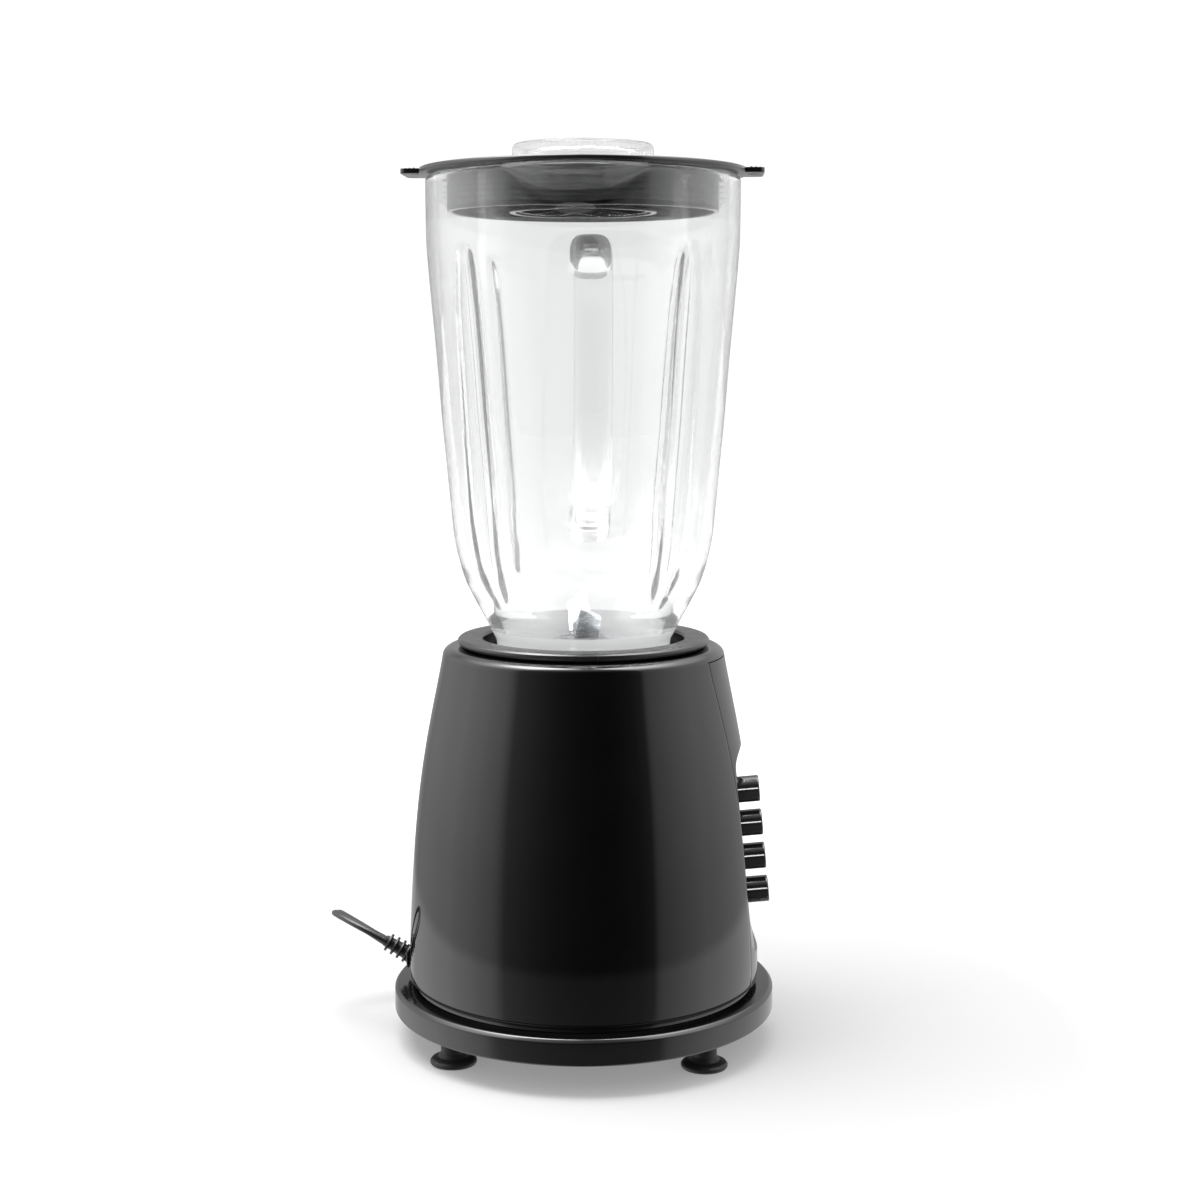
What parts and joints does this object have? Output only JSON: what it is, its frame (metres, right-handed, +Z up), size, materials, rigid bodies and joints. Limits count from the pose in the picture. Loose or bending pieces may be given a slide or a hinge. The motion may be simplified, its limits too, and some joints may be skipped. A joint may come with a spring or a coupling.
{
  "type": "countertop blender",
  "caption": "Countertop blender with a fluted glass jar and glass handle on a gloss black conical motor base, push-buttons, lift-off lid with clear filler cap and a mains lead.",
  "frame": {"origin": "middle of the footprint box of the blender without its mains lead, on the counter surface; the motor's drive axis stands 12 mm towards -X of it", "axes": "+Z up along the drive axis, -Y towards the front with the buttons, +X towards the jar's handle, -X towards the spout"},
  "size_m": [0.2548, 0.2013, 0.3904],
  "materials": {
    "body_black": "high gloss black ABS",
    "fascia_black": "gloss black control panel",
    "button_black": "gloss black push buttons",
    "plate_black": "satin-gloss black base plate",
    "foot_rubber": "matt black rubber feet",
    "seat_black": "satin black socket ring",
    "jar_glass": "clear moulded glass",
    "collar_black": "satin black ribbed collar",
    "lid_black": "gloss black lid",
    "seal_clear": "translucent silicone seal",
    "cap_clear": "clear styrene filler cap",
    "blade_steel": "ground stainless steel",
    "holder_steel": "pressed stainless steel",
    "shaft_steel": "ground steel",
    "screw_steel": "zinc-plated steel",
    "lamination": "electrical steel laminations",
    "copper_wire": "enamelled copper wire",
    "alloy": "pressed and cast alloy",
    "bronze": "sintered bronze",
    "carbon": "carbon block",
    "phenolic": "brown phenolic",
    "coupling_black": "hard black rubber coupling",
    "white_nylon": "natural nylon",
    "switch_cream": "cream thermoset switch body",
    "cap_yellow": "yellow capacitor case",
    "wire_brown": "brown insulated leads",
    "cord_pvc": "black PVC flex",
    "pin_metal": "nickel-plated brass"
  },
  "bodies": {
    "base": {"base_plate": "plate_black", "rubber_feet": "foot_rubber", "plate_screws": "screw_steel", "motor_housing": "body_black", "front_fascia": "fascia_black", "jar_seat": "seat_black", "switch_block": "switch_cream", "switch_bracket": "alloy", "switch_screws": "screw_steel", "motor_stator": "lamination", "field_coils": "copper_wire", "motor_lower_bracket": "alloy", "motor_upper_bracket": "alloy", "motor_bolts": "screw_steel", "bracket_screws": "screw_steel", "mount_grommets": "foot_rubber", "lower_bush": "bronze", "upper_bush": "bronze", "brush_holders": "phenolic", "carbon_brushes": "carbon", "brush_springs": "screw_steel", "thermal_fuse": "white_nylon", "suppressor": "cap_yellow", "wiring_loom": "wire_brown", "cord_clamp": "white_nylon", "strain_relief": "cord_pvc", "power_cord": "cord_pvc", "cord_coil": "cord_pvc", "cord_tie": "coupling_black", "plug_body": "cord_pvc", "plug_pins": "pin_metal"},
    "rotor": {"motor_shaft": "shaft_steel", "rotor_core": "lamination", "rotor_windings": "copper_wire", "commutator": "bronze", "cooling_fan": "white_nylon", "shaft_slinger": "collar_black", "drive_coupling": "coupling_black"},
    "jar": {"glass_jar": "jar_glass", "retaining_collar": "collar_black", "blade_gasket": "seal_clear", "blade_holder": "holder_steel", "blade_bush": "bronze"},
    "blades": {"blade_shaft": "shaft_steel", "driven_coupling": "coupling_black", "lower_blade": "blade_steel", "upper_blade": "blade_steel", "blade_nut": "screw_steel"},
    "lid_body": {"lid": "lid_black", "lid_seal": "seal_clear"},
    "cap": {"filler_cap": "cap_clear"},
    "button_off_body": {"button_off": "button_black"},
    "button_low_body": {"button_low": "button_black"},
    "button_high_body": {"button_high": "button_black"},
    "button_pulse_body": {"button_pulse": "button_black"}
  },
  "joints": [
    {"name": "motor_spin", "type": "hinge", "parent": "base", "child": "rotor", "pos_m": [-0.012, -0.0027, 0.1], "axis": [0, 0, 1], "continuous": true},
    {"name": "jar_lift", "type": "slide", "parent": "base", "child": "jar", "axis": [0, 0, 1], "range_m": [0, 0.12]},
    {"name": "blade_spin", "type": "hinge", "parent": "jar", "child": "blades", "pos_m": [-0.012, -0.0027, 0.17], "axis": [0, 0, 1], "continuous": true},
    {"name": "lid_lift", "type": "slide", "parent": "jar", "child": "lid_body", "axis": [0, 0, 1], "range_m": [0, 0.08]},
    {"name": "cap_lift", "type": "slide", "parent": "lid_body", "child": "cap", "axis": [0, 0, 1], "range_m": [0, 0.05]},
    {"name": "off_press", "type": "slide", "parent": "base", "child": "button_off_body", "axis": [0, 0.9952, -0.0978], "range_m": [0, 0.004], "stiffness_N_per_m": 400},
    {"name": "low_press", "type": "slide", "parent": "base", "child": "button_low_body", "axis": [0, 0.9952, -0.0978], "range_m": [0, 0.004], "stiffness_N_per_m": 400},
    {"name": "high_press", "type": "slide", "parent": "base", "child": "button_high_body", "axis": [0, 0.9952, -0.0978], "range_m": [0, 0.004], "stiffness_N_per_m": 400},
    {"name": "pulse_press", "type": "slide", "parent": "base", "child": "button_pulse_body", "axis": [0, 0.9952, -0.0978], "range_m": [0, 0.004], "stiffness_N_per_m": 400}
  ],
  "couplings": [
    {"joint": "blade_spin", "follows": "motor_spin", "ratio": 1}
  ]
}
